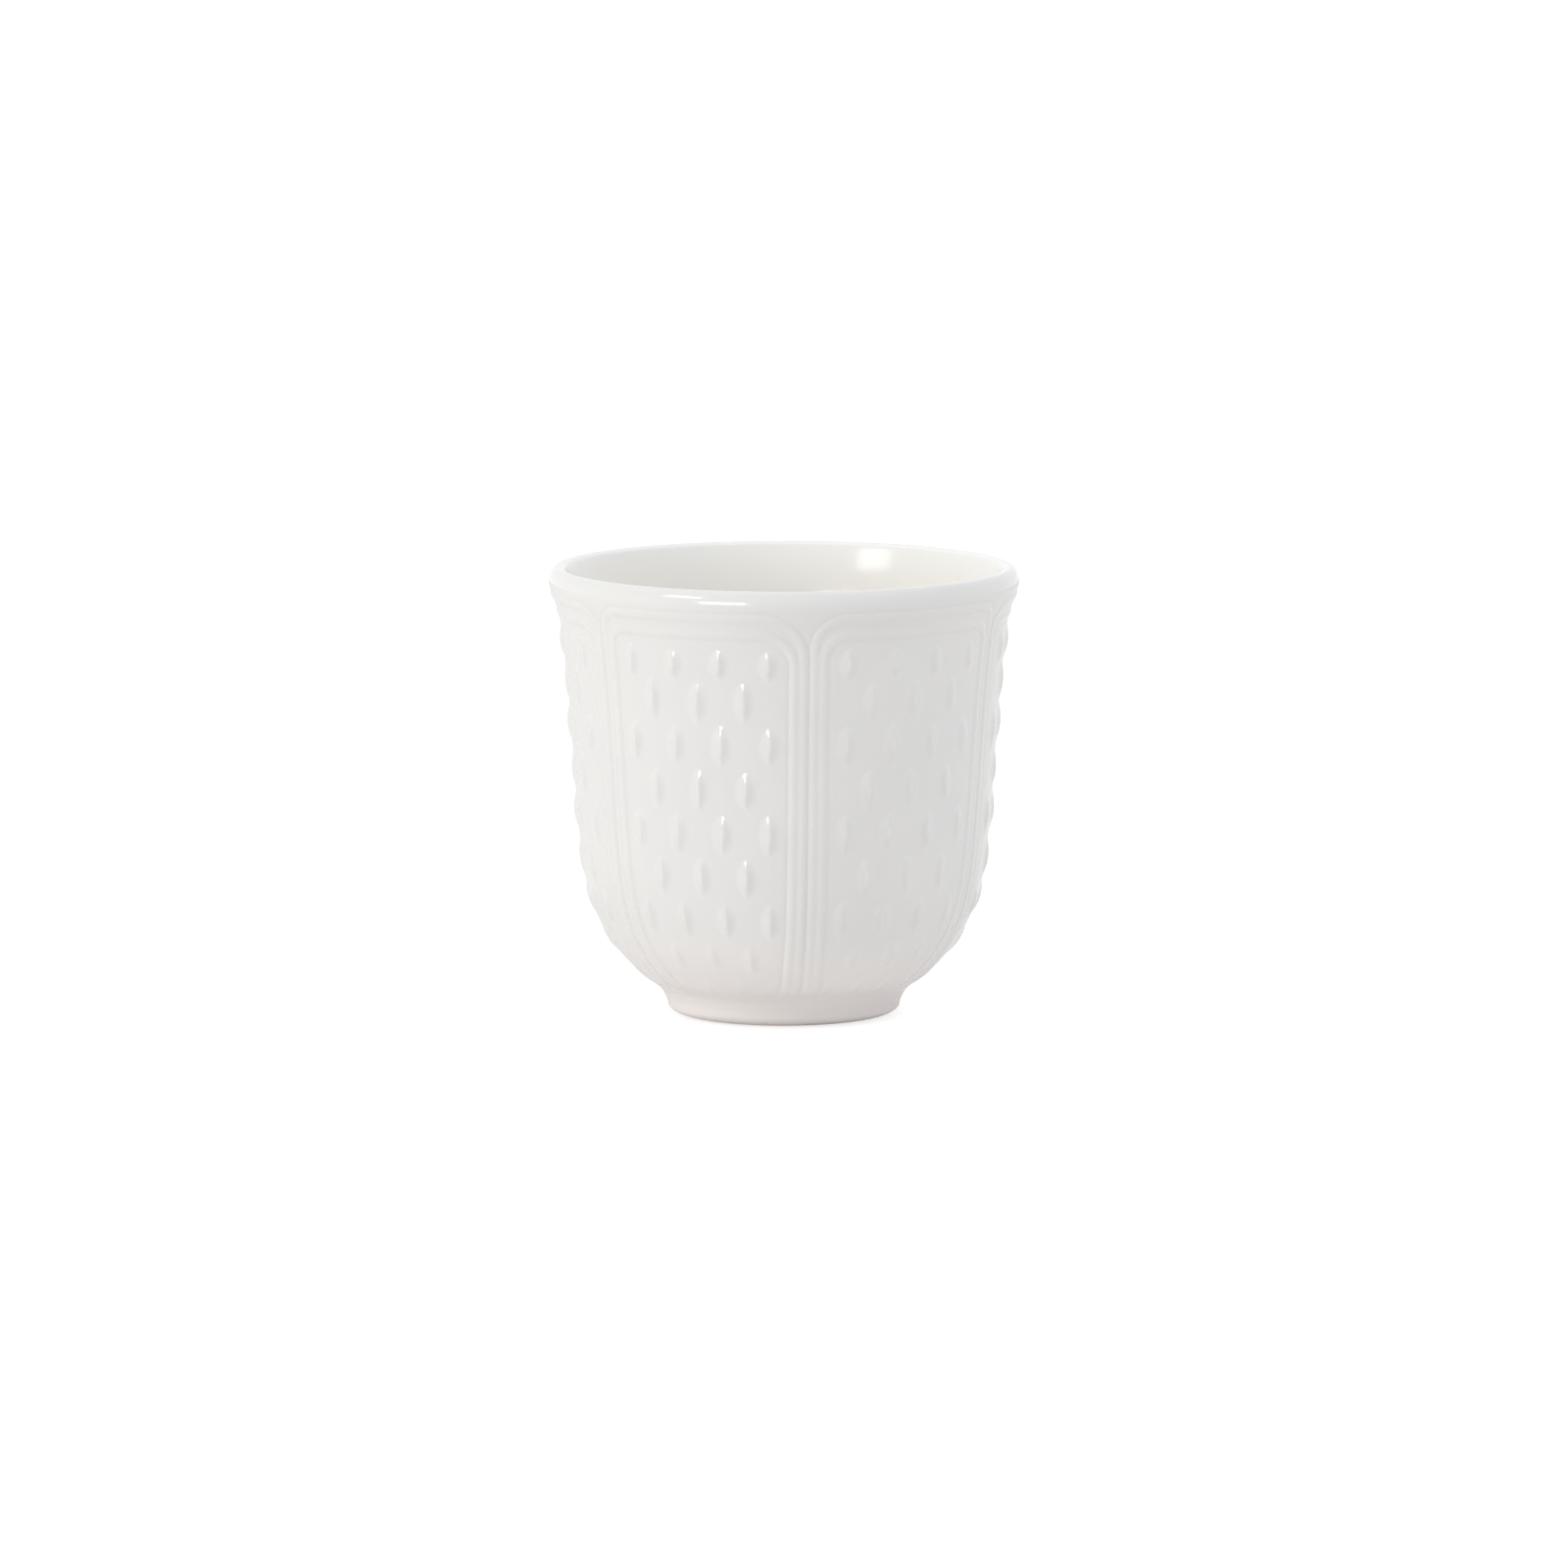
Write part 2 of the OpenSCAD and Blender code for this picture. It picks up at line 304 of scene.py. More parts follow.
def soft_positive(x, softness):
    """x where it is well above zero and nothing where it is well below, with a rounded turn between."""
    return (x + np.sqrt(x * x + softness * softness)) / 2


def inside_of(seam_d, run, inset, top, corner):
    """Distance inwards from an arch whose sides lie inset from the seam, and whose top is at run top."""
    x, y = seam_d - inset, top - run
    in_corner = (x < corner) & (y < corner)
    bent = corner - np.hypot(corner - x, corner - y)
    return np.where(in_corner, bent, np.minimum(x, y))


def rib_heights(seam_d, run, bend):
    """Both ribs of a panel and the grooves beside them. bend is the share of the corners' sizes."""
    arches = [
        inside_of(seam_d, run, inset, top, corner * bend)
        for inset, top, corner in zip(RIB_INSETS, RIB_RUNS, RIB_CORNERS)
    ]
    height = 0
    for arch in arches:
        height = height + soft_positive(RIB_H * (1 - (arch / RIB_HALF_W) ** 2), RIB_SOFT)
    outer_groove = np.exp(-(((arches[0] + GROOVE_OUT) / GROOVE_HALF_W) ** 2))
    inner_groove = np.exp(-(((arches[1] - GROOVE_OUT) / GROOVE_HALF_W) ** 2))
    grooves = GROOVE_DEPTH * (outer_groove + INNER_GROOVE_SHARE * inner_groove)
    # The bars across the top are lower than the sides
    lost = (1 - RIB_TOP_SHARE) * smooth_step(run, RIB_RUNS[1] - RIB_TOP_TURN, RIB_RUNS[1])
    return (height - grooves) * (1 - lost) * smooth_step(run - FOOT_RUN, *RIB_FADE)


def grain_height(x, y, length, width, height):
    """One grain about its highest point: a ridge with hollow flanks, blunt above, that runs out below."""
    up = length * GRAIN_TOP_SHARE
    down = length - up
    # The ridge drops ever more steeply towards its upper end
    above = 1 - np.sqrt(np.clip(1 - np.abs(y / up) ** TOP_BEND, 0, None))
    along = np.where(y > 0, above, np.abs(y / down) ** BOTTOM_BEND)
    flank = np.hypot(2 * x / width, RIDGE_ROUND) - RIDGE_ROUND
    across = flank / (math.hypot(1, RIDGE_ROUND) - RIDGE_ROUND)
    return height * np.clip(1 - along - across, 0, None) ** FLANK_BEND


def grain_rows():
    """Each row's distance along the skin, and its grains' number, length, width and height."""
    first = RIB_RUNS[1] - FIRST_ROW
    second = first - FIRST_PITCH
    total = 2 + int((second - FOOT_RUN - LAST_ROW) / ROW_PITCH)
    rows = []
    for row in range(total):
        run = first if row == 0 else second - (row - 1) * ROW_PITCH
        scale = min(1, float(SKIN.at(run)[0]) / BELLY_R)
        length = FIRST_GRAIN_L if row == 0 else GRAIN_L * scale
        height = GRAIN_H * smooth_step(run - FOOT_RUN, *GRAIN_FADE)
        rows.append((run, ROW_COUNTS[row % len(ROW_COUNTS)], length, GRAIN_W * scale, height))
    return rows


def grain_heights(azimuth, run, radius, draw):
    """All the grains of a panel, each a little different from the next."""
    relief = np.zeros_like(run)
    for middle, count, length, width, height in grain_rows():
        for j in range(count):
            shift_x, shift_y = draw.uniform(-GRAIN_SHIFT, GRAIN_SHIFT, 2)
            grow_l, grow_w, grow_h = 1 + draw.uniform(-GRAIN_SPREAD, GRAIN_SPREAD, 3)
            turn = (j - (count - 1) / 2) * GRAIN_STEP
            x = (azimuth - turn) * radius - shift_x
            y = run - middle - shift_y
            relief = relief + grain_height(x, y, length * grow_l, width * grow_w, height * grow_h)
    return relief


def draw_wave(draw):
    """One wave: its number round the cup, its slant and its phase."""
    number = draw.integers(*WAVE_TURNS)
    slant = draw.uniform(-WAVE_SLANT, WAVE_SLANT)
    return number, slant, draw.uniform(0, 2 * math.pi)


WAVE_DRAW = np.random.default_rng(SEED)
WAVES = [draw_wave(WAVE_DRAW) for _ in range(WAVE_COUNT)]


def wave_heights(azimuth, run):
    """Slow unevenness of the glaze, which dies away at the foot and the rim."""
    height = sum(np.cos(number * azimuth + slant * run + phase) for number, slant, phase in WAVES)
    from_foot = smooth_step(run, FOOT_RUN, FOOT_RUN + WAVE_END)
    from_rim = 1 - smooth_step(run, RIM_RUN - WAVE_END, RIM_RUN)
    return WAVE_H * height * (from_foot * from_rim)


# Meshes


def add_object(name, data):
    """A new object in the scene."""
    made = bpy.data.objects.new(name, data)
    bpy.context.scene.collection.objects.link(made)
    return made


def on_cup(azimuth, radius, height):
    """Points at azimuths from -Y towards +X."""
    parts = np.broadcast_arrays(radius * np.sin(azimuth), -radius * np.cos(azimuth), height)
    return np.stack(parts, -1)


def off_skin(runs, azimuth, height):
    """A grid of points that stand off the skin by a height, with a row for each distance along it."""
    base, normal = SKIN.at(runs), SKIN.normal(runs)
    return on_cup(azimuth, base[:, :1] + height * normal[:, :1], base[:, 1:] + height * normal[:, 1:])


def spread(span, share):
    """The value that lies at a share of the way through a span."""
    return span[0] + (span[1] - span[0]) * share


def grid_index(grid, start):
    """Vertex numbers of a grid of points, from a first number on."""
    rows, columns = grid.shape[:2]
    return start + np.arange(rows * columns).reshape(rows, columns)


def grid_quads(index):
    """Faces over a grid of vertex numbers, which face out when columns go right and rows go up."""
    return np.stack([index[:-1, :-1], index[:-1, 1:], index[1:, 1:], index[1:, :-1]], -1).reshape(-1, 4)


def grid_places(index, span):
    """Map places of a grid's points, across a span of the map."""
    row, column = np.divmod(np.arange(index.size), index.shape[1])
    across = spread(span, column / (index.shape[1] - 1))
    return np.column_stack([across, spread(MAP_UP, row / (index.shape[0] - 1))])


def grid_normals(points):
    """Unit normals at the points within a grid, from the neighbours of each."""
    across = points[1:-1, 2:] - points[1:-1, :-2]
    up = points[2:, 1:-1] - points[:-2, 1:-1]
    normals = np.cross(across, up)
    return normals / np.linalg.norm(normals, axis=-1, keepdims=True)


def flat_normals(points, faces):
    """The face's own normal for each of its corners."""
    a, b, c = (points[faces[:, i]] for i in (0, 1, 2))
    normal = np.cross(b - a, c - a)
    normal /= np.maximum(np.linalg.norm(normal, axis=1, keepdims=True), LEAST_LENGTH)
    return np.repeat(normal, faces.shape[1], axis=0)


def make_piece(name, points, faces, normals, uv, relief_shading, material, replaced):
    """A mesh object from arrays of vertex numbers, with a normal and a map place for each face's corner.

    The relief heights at each point set where shade is painted darker in grooves and on flanks, and light
    on crests.
    """
    mesh = bpy.data.meshes.new(name)
    vertex_of = np.concatenate([f.ravel() for f in faces])
    sizes = np.concatenate([np.full(len(f), f.shape[1]) for f in faces])
    starts = np.concatenate([[0], np.cumsum(sizes)[:-1]])
    mesh.vertices.add(len(points))
    mesh.vertices.foreach_set("co", (points * MM).astype(np.float32).ravel())
    mesh.loops.add(len(vertex_of))
    mesh.loops.foreach_set("vertex_index", vertex_of.astype(np.int32))
    mesh.polygons.add(len(sizes))
    mesh.polygons.foreach_set("loop_start", starts.astype(np.int32))
    mesh.update(calc_edges=True)
    mesh.shade_smooth()
    layer = mesh.uv_layers.new(name="OFBake")
    layer.uv.foreach_set("vector", np.concatenate(uv).astype(np.float32).ravel())
    heights = mesh.attributes.new("relief", "FLOAT", "POINT")
    heights.data.foreach_set("value", np.asarray(relief_shading, np.float32))
    mesh.normals_split_custom_set(np.concatenate(normals).reshape(-1, 3))
    mesh.materials.append(material)
    piece = add_object(name, mesh)
    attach(piece, "root")
    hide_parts(*replaced)


# The relief panels


def panel_columns():
    """Distances of a panel's columns from its seam at the belly, from the left seam to the middle."""
    fine = np.linspace(0, RIB_ZONE, round(RIB_ZONE / FINE_STEP) + 1)
    field_steps = round((BELLY_HALF_W - RIB_ZONE) / FIELD_STEP)
    # The whole panel's count of steps is a multiple of the back's ratio
    field_steps += -(len(fine) - 1 + field_steps) % (BACK_RATIO // 2)
    field = np.linspace(RIB_ZONE, BELLY_HALF_W, field_steps + 1)[1:]
    return np.concatenate([fine, field])


def panel_rows():
    """Distances along the skin of a panel's rows, fine over the top of the frame."""
    split = RIM_RUN - TOP_ZONE
    low_steps = round((split - FOOT_RUN) / FIELD_STEP)
    low = np.linspace(FOOT_RUN, split, low_steps + 1)
    top_steps = round(TOP_ZONE / FINE_STEP)
    top_steps += -(low_steps + top_steps) % BACK_RATIO
    return np.concatenate([low, np.linspace(split, RIM_RUN, top_steps + 1)[1:]])


def panel_grid():
    """Each row's distance along the skin, and each point's azimuth and distance from its seam.

    Azimuths are from the panel's middle. There is one more row and column all round than the panel has,
    for the normals at its edges.
    """
    rows = panel_rows()
    runs = np.concatenate([[rows[0] - FINE_STEP], rows, [rows[-1] + FINE_STEP]])
    columns = np.concatenate([[-FINE_STEP], panel_columns()])
    radius = SKIN.at(runs)[:, :1]
    half_w = radius * PANEL_ANGLE / 2
    # Columns over the ribs keep their distance from the seam, and the others share the rest of the width
    stretched = RIB_ZONE + (columns - RIB_ZONE) * (half_w - RIB_ZONE) / (BELLY_HALF_W - RIB_ZONE)
    from_seam = np.where(columns < RIB_ZONE, columns, stretched)
    left = from_seam / radius - PANEL_ANGLE / 2
    azimuth = np.concatenate([left, -left[:, -2::-1]], axis=1)
    seam_d = np.abs(np.concatenate([from_seam, from_seam[:, -2::-1]], axis=1))
    return runs, azimuth, seam_d


def make_panel(k, material):
    """One panel: its outside with ribs and grains, and a plain back that lies on the bowl."""
    draw = np.random.default_rng(SEED + k)
    runs, azimuth, seam_d = panel_grid()
    run = np.broadcast_to(runs[:, None], azimuth.shape)
    turned = (k - 0.5) * PANEL_ANGLE + azimuth
    ribs = rib_heights(seam_d, run, np.where(azimuth < 0, *CORNER_BENDS[k - 1]))
    grains = grain_heights(azimuth, run, SKIN.at(runs)[:, :1], draw)
    wide = off_skin(runs, turned, ribs + grains + wave_heights(turned, run))
    back = off_skin(runs, turned, -PLATE_T)[1:-1, 1:-1]
    # Relief heights by which shade is painted darker in the grooves and on the grains' flanks, and light on
    # their crests
    relief_shading = (np.minimum(ribs, 0) + grains)[1:-1, 1:-1]
    make_plate(
        f"relief_panel_{k}",
        wide[1:-1, 1:-1],
        grid_normals(wide),
        relief_shading,
        back[::BACK_RATIO, ::BACK_RATIO],
        material,
        [f"panel_{k}_frame", f"panel_{k}_grains"],
    )


def edge_loop(index):
    """Vertex numbers round a grid: along the bottom, up the right, back along the top, down the left."""
    return [index[0, :], index[:, -1], index[-1, ::-1], index[::-1, 0]]


def side_faces(front_edge, back_edge):
    """Triangles from a fine edge to a coarse one that lies behind it."""
    faces = []
    for k in range(len(back_edge) - 1):
        first = k * BACK_RATIO
        middle = first + BACK_RATIO // 2
        for i in range(first, first + BACK_RATIO):
            near = back_edge[k] if i < middle else back_edge[k + 1]
            faces.append((front_edge[i + 1], front_edge[i], near))
        faces.append((front_edge[middle], back_edge[k], back_edge[k + 1]))
    return np.array(faces)


def make_plate(name, front, front_normals, relief_shading, back, material, replaced):
    """A closed plate from its outside grid and a coarser grid behind it."""
    front_index = grid_index(front, 0)
    back_index = grid_index(back, front_index.size)
    points = np.concatenate([front.reshape(-1, 3), back.reshape(-1, 3)])
    front_quads = grid_quads(front_index)
    back_quads = grid_quads(back_index)[:, ::-1]
    edges = zip(edge_loop(front_index), edge_loop(back_index))
    sides = np.concatenate([side_faces(*pair) for pair in edges])
    normals = [
        front_normals.reshape(-1, 3)[front_quads.ravel()],
        flat_normals(points, back_quads),
        flat_normals(points, sides),
    ]
    places = np.concatenate([grid_places(front_index, MAP_FRONT), grid_places(back_index, MAP_BACK)])
    side_places = places[sides.ravel()]
    is_back = sides.ravel() >= front_index.size
    side_places[:, 0] = np.where(is_back, MAP_EDGE[1], MAP_EDGE[0])
    uv = [places[front_quads.ravel()], places[back_quads.ravel()], side_places]
    relief_shading = np.concatenate([relief_shading.ravel(), np.zeros(back_index.size)])
    faces = [front_quads, back_quads, sides]
    make_piece(name, points, faces, normals, uv, relief_shading, material, replaced)


# The turned pieces: bowl, lining and foot

AZIMUTHS = np.linspace(0, 2 * math.pi, ROUND_COLUMNS + 1)


def turned_points(outline):
    """The vertices of an outline turned about Z, and a row of their numbers for each of its points."""
    vertices, rows = [], []
    start = 0
    for r, z in outline:
        count = 1 if r < TINY else ROUND_COLUMNS
        vertices.append(on_cup(AZIMUTHS[:count], r, z))
        rows.append(np.resize(start + np.arange(count), ROUND_COLUMNS + 1))
        start += count
    return np.concatenate(vertices), rows


def make_turned(name, stretches, material, replaced):
    """A closed solid of revolution.

    Each stretch of its outline is (points, normals), and starts where the last one ended.
    """
    outline = [stretches[0][0][0]]
    segments = []
    for points, normals in stretches:
        outline.extend(points[1:])
        segments.extend(zip(normals, normals[1:]))
    outline = np.array(outline)
    closes = np.hypot(*(outline[0] - outline[-1])) < TINY
    points, rows = turned_points(outline[:-1] if closes else outline)
    if closes:
        rows.append(rows[0])
    runs = np.concatenate([[0], np.cumsum(np.hypot(*np.diff(outline, axis=0).T))])
    places_up = spread(MAP_UP, runs / runs[-1])
    column = np.arange(ROUND_COLUMNS)
    faces, normals, uv = [], [], []
    for i, (low_n, high_n) in enumerate(segments):
        # Corners of the faces between two rings, which lose one where a ring is a point on the axis
        quad = [(i, 0, low_n), (i, 1, low_n), (i + 1, 1, high_n), (i + 1, 0, high_n)]
        if outline[i][0] < TINY:
            quad = quad[1:]
        elif outline[i + 1][0] < TINY:
            quad = quad[:3]
        faces.append(np.stack([rows[at][column + step] for at, step, _ in quad], -1))
        bent = [on_cup(AZIMUTHS[column + step], *normal) for _, step, normal in quad]
        normals.append(np.stack(bent, 1).reshape(-1, 3))
        places = [
            np.column_stack([(column + step) / ROUND_COLUMNS, np.full(ROUND_COLUMNS, places_up[at])])
            for at, step, _ in quad
        ]
        uv.append(np.stack(places, 1).reshape(-1, 2))
    make_piece(name, points, faces, normals, uv, np.zeros(len(points)), material, replaced)


def skin_stretch(low, high, step):
    """A visible stretch of the skin, with its smooth normals."""
    runs = np.linspace(low, high, max(2, round(abs(high - low) / step) + 1))
    return SKIN.at(runs), SKIN.normal(runs)


def straight_stretches(*points):
    """Stretches with a sharp corner at each point, as pairs of points with the normal between them."""
    made = []
    for a, b in zip(points, points[1:]):
        step = np.subtract(b, a)
        way = step / np.hypot(*step)
        normal = (way[1], -way[0])
        made.append((np.array([a, b]), np.array([normal, normal])))
    return made


def make_bowl(material):
    """The bowl under the panels, with the rim and lip that stand above them."""
    wall_runs = np.linspace(FOOT_RUN, RIM_RUN, HIDDEN_POINTS)
    core_normals = SKIN.normal(wall_runs)
    core = SKIN.at(wall_runs) - PLATE_T * core_normals
    foot_top = LINES["wall"][0][1]
    rim, rim_normals = skin_stretch(RIM_RUN, LIP_IN_RUN, RIM_STEP)
    hollow_runs = np.linspace(0, HOLLOW.runs[-1], HIDDEN_POINTS)
    hollow_normals = HOLLOW.normal(hollow_runs)
    # The clay stays just behind the lining
    behind = HIDDEN_GAP * np.clip(hollow_runs / HIDDEN_TAPER, 0, 1)[:, None] * hollow_normals
    inside = HOLLOW.at(hollow_runs) - behind
    inside[-1, 0] = 0
    stretches = [
        *straight_stretches((0, foot_top), (core[0][0] - PLATE_T, foot_top), core[0]),
        (core, core_normals),
        *straight_stretches(core[-1], rim[0]),
        (rim, rim_normals),
        (inside, hollow_normals),
    ]
    make_turned("cup_bowl", stretches, material, ["bowl"])


def make_lining(material):
    """The glaze inside, from the lip to the middle of the floor."""
    hollow_runs = np.linspace(HOLLOW.runs[-1], 0, HIDDEN_POINTS)
    under = HOLLOW.at(hollow_runs)
    under[0, 0] = 0
    face, face_normals = skin_stretch(LIP_IN_RUN, END_RUN, LINING_STEP)
    face[-1, 0] = 0
    face_normals[-1] = (0, 1)
    stretches = [(under, -HOLLOW.normal(hollow_runs)), (face, face_normals)]
    make_turned("cup_lining", stretches, material, ["inner_glaze"])


def make_foot(material):
    """The foot ring: standing face, outer side, hidden top and inner side."""
    side, side_normals = skin_stretch(0, FOOT_RUN, FOOT_STEP)
    foot_top = side[-1][1]
    inner_r = LINES["foot_inner"][:, 0].min()
    bend = LINES["stand"][:, 0].min() - inner_r
    turn = np.linspace(math.pi, 1.5 * math.pi, FOOT_ROUND_POINTS)
    round_points = np.column_stack([inner_r + bend * (1 + np.cos(turn)), bend * (1 + np.sin(turn))])
    round_normals = np.column_stack([np.cos(turn), np.sin(turn)])
    stretches = [
        *straight_stretches(round_points[-1], side[0]),
        (side, side_normals),
        *straight_stretches(side[-1], (inner_r, foot_top), round_points[0]),
        (round_points, round_normals),
    ]
    make_turned("cup_foot", stretches, material, ["foot_ring"])


# Materials


def colour(r, g, b):
    """A colour as a shader's socket takes it."""
    return (r, g, b, 1.0)


WHITE = colour(0.812, 0.805, 0.799)
WHITE_COOL = colour(0.797, 0.791, 0.789)
# Painted shade for the grooves and the grains' flanks
PAINTED_SHADE = colour(0.722, 0.7, 0.685)
# Painted light for the grains' crests
CREST_PAINTED_LIGHT = colour(0.828, 0.824, 0.816)
IVORY = colour(0.948, 0.929, 0.88)
IVORY_PALE = colour(0.938, 0.922, 0.883)
# Painted light on the lip's inside and top
LIP_PAINTED_LIGHT = colour(0.96, 0.957, 0.943)
# Painted pink bounce light from the table, lighter towards the foot
TABLE_BOUNCE_TINT = colour(0.9, 0.853, 0.846)
SPECK = colour(0.30, 0.26, 0.23)
CLAY_PALE = colour(0.89, 0.82, 0.78)
CLAY = colour(0.85, 0.77, 0.73)
PLAIN_WHITE = colour(1, 1, 1)

# Middle of a noise's range, where most of its values lie
NOISE_MIDDLE = (0.3, 0.7)
# Clouds in the glaze's colour
CLOUD_SIZE = 14
CLOUD_SPAN = (0.35, 0.65)
# Height up to which pink bounce light from the table is painted on the glaze, more and more towards the
# foot
TABLE_BOUNCE_TOP = 16.0
# Distances below the lip's crest, and inwards from it, between which light is painted on the lip's inside
# as the glaze's palest colour
LIP_LIGHT_DROPS = (0.2, 3.5)
LIP_LIGHT_INSETS = (-0.2, 0.7)
# Heights of relief between which shade is painted darker in the grooves and on the flanks, leaving off
# towards the crests, and light is painted on the crests, with the most that each gives to the colour
GROOVE_SHADE_SPAN = (0.02, -0.12)
GROOVE_SHADE_SHARE = 0.7
FLANK_SHADE_SPAN = (0, 0.22)
FLANK_SHADE_END = (0.46, 0.34)
FLANK_SHADE_SHARE = 0.25
CREST_LIGHT_SPAN = (0.3, 0.5)
CREST_LIGHT_SHARE = 0.6
# Specks: the size of the cells that may hold one, its edge as shares of a cell, and which cells do
SPECK_CELL = 4.5
SPECK_EDGE = (0.035, 0.02)
SPECK_RARE = (0.88, 0.89)
SPECK_SHARE = 0.5
# Unevenness of the glaze that is too small for the mesh
FINE_SIZE = 0.9
FINE_DETAIL = 3
FINE_STRENGTH = 0.1
FINE_DEPTH = 0.02
WAVY_SIZE = 5
WAVY_STRENGTH = 0.15
WAVY_DEPTH = 0.1
# Gloss
GLAZE_IOR = 1.5
GLOSS_SIZE = 3
WHITE_ROUGHNESS = (0.12, 0.2)
WHITE_COAT = 0.6
COAT_ROUGHNESS = 0.04
IVORY_ROUGHNESS = (0.13, 0.17)
# The foot's bare edge: heights from glazed to bare, how ragged that line is, and the clay's own grain
BARE_SPAN = (0.45, 0.2)
RAGGED_SIZE = 2
RAGGED_DETAIL = 3
RAGGED_H = 0.12
CLAY_SIZE = 0.4
CLAY_DETAIL = 4
FOOT_ROUGHNESS = (0.15, 0.8)

# Node that every material starts with
SHADER = "Principled BSDF"


class Nodes:
    """Shorthand for building the node tree of a material or a world."""

    def __init__(self, owner):
        owner.use_nodes = True
        self.owner = owner
        self.tree = owner.node_tree

    def put(self, socket, value):
        """Links another socket to this one, or sets its value."""
        if isinstance(value, bpy.types.NodeSocket):
            self.tree.links.new(value, socket)
        else:
            socket.default_value = value

    def add(self, kind, values=None, **settings):
        """A new node with these settings, and these values or links of its sockets."""
        node = self.tree.nodes.new(kind)
        for key, value in settings.items():
            setattr(node, key, value)
        for key, value in (values or {}).items():
            self.put(node.inputs[key], value)
        return node

    def fill(self, name, **values):
        """Sets or links the sockets of a node by its name. Sockets are named with _ for a space."""
        for key, value in values.items():
            self.put(self.tree.nodes[name].inputs[key.replace("_", " ")], value)

    def calculate(self, operation, a, b):
        """The result of two sockets or numbers."""
        return self.add("ShaderNodeMath", {0: a, 1: b}, operation=operation).outputs[0]

    def noise(self, place, size, detail=2.0):
        """Noise whose features are about this many millimetres across."""
        values = {"Vector": place, "Scale": 1 / (size * MM), "Detail": detail}
        return self.add("ShaderNodeTexNoise", values).outputs[0]

    def fit(self, value, span, to=(0.0, 1.0)):
        """A value that goes through one span, as one that goes through another and stops at its ends."""
        (low, high), (to_low, to_high) = span, to
        values = {"Value": value, "From Min": low, "From Max": high, "To Min": to_low, "To Max": to_high}
        return self.add("ShaderNodeMapRange", values).outputs["Result"]

    def mix(self, share, a, b):
        """Colour a, with a share of colour b. The node's sockets go by number, as their names repeat."""
        return self.add("ShaderNodeMix", {0: share, 6: a, 7: b}, data_type="RGBA").outputs[2]

    def mix_numbers(self, share, a, b):
        """Number a, with a share of number b."""
        return self.add("ShaderNodeMix", {0: share, 2: a, 3: b}).outputs[0]

    def bump(self, height, strength, depth, **under):
        """A normal bent by a height that stands for this depth, over another normal if one is given."""
        values = {"Height": height, "Strength": strength, "Distance": depth * MM}
        return self.add("ShaderNodeBump", {**values, **under}).outputs[0]


def height_of(n, place):
    """A place's height above the table, in metres."""
    return n.add("ShaderNodeSeparateXYZ", {0: place}).outputs["Z"]


def radius_of(n, place):
    """A place's distance from the cup's axis, in metres."""
    flat = n.add("ShaderNodeVectorMath", {0: place, 1: (1, 1, 0)}, operation="MULTIPLY").outputs[0]
    return n.add("ShaderNodeVectorMath", {0: flat}, operation="LENGTH").outputs["Value"]


def with_painted_foot_and_lip_light(n, place, base):
    """Adds painted pink bounce light from the table towards the foot, and painted light on the lip's
    inside, to a colour.
    """
    height = height_of(n, place)
    base = n.mix(n.fit(height, (TABLE_BOUNCE_TOP * MM, 0)), base, TABLE_BOUNCE_TINT)
    near_crest = n.fit(height, [(CREST_H - drop) * MM for drop in LIP_LIGHT_DROPS[::-1]])
    inward = n.fit(radius_of(n, place), [(CREST_R - inset) * MM for inset in LIP_LIGHT_INSETS])
    return n.mix(n.calculate("MULTIPLY", near_crest, inward), base, LIP_PAINTED_LIGHT)


def with_relief_shading(n, base):
    """Adds painted shade in grooves and on flanks, and painted light on crests, to a colour."""
    relief = n.add("ShaderNodeAttribute", attribute_name="relief").outputs["Fac"]
    base = n.mix(n.fit(relief, GROOVE_SHADE_SPAN, (0, GROOVE_SHADE_SHARE)), base, PAINTED_SHADE)
    rising = n.fit(relief, FLANK_SHADE_SPAN)
    flank = n.calculate("MULTIPLY", rising, n.fit(relief, FLANK_SHADE_END, (0, FLANK_SHADE_SHARE)))
    base = n.mix(flank, base, PAINTED_SHADE)
    return n.mix(n.fit(relief, CREST_LIGHT_SPAN, (0, CREST_LIGHT_SHARE)), base, CREST_PAINTED_LIGHT)


def with_specks(n, place, base):
    """Adds a few dark specks to a colour."""
    cells = n.add("ShaderNodeTexVoronoi", {"Vector": place, "Scale": 1 / (SPECK_CELL * MM)})
    near = n.fit(cells.outputs["Distance"], SPECK_EDGE)
    parts = n.add("ShaderNodeSeparateColor", {0: cells.outputs["Color"]})
    dots = n.calculate("MULTIPLY", near, n.fit(parts.outputs[0], SPECK_RARE))
    return n.mix(n.calculate("MULTIPLY", dots, SPECK_SHARE), base, SPECK)


def glaze(name, body, body_other):
    """A gloss glaze with a cloudy body colour: its nodes, the place that they go by, and its colour."""
    n = Nodes(bpy.data.materials.new(name))
    place = n.add("ShaderNodeTexCoord").outputs["Object"]
    base = n.mix(n.fit(n.noise(place, CLOUD_SIZE), CLOUD_SPAN), body, body_other)
    base = with_painted_foot_and_lip_light(n, place, base)
    base = with_relief_shading(n, base)
    base = with_specks(n, place, base)
    fine = n.bump(n.noise(place, FINE_SIZE, FINE_DETAIL), FINE_STRENGTH, FINE_DEPTH)
    wavy = n.bump(n.noise(place, WAVY_SIZE), WAVY_STRENGTH, WAVY_DEPTH, Normal=fine)
    n.fill(SHADER, Normal=wavy, IOR=GLAZE_IOR)
    return n, place, base


def gloss(n, place, roughness):
    """Roughness that changes a little from place to place."""
    return n.fit(n.noise(place, GLOSS_SIZE), NOISE_MIDDLE, roughness)


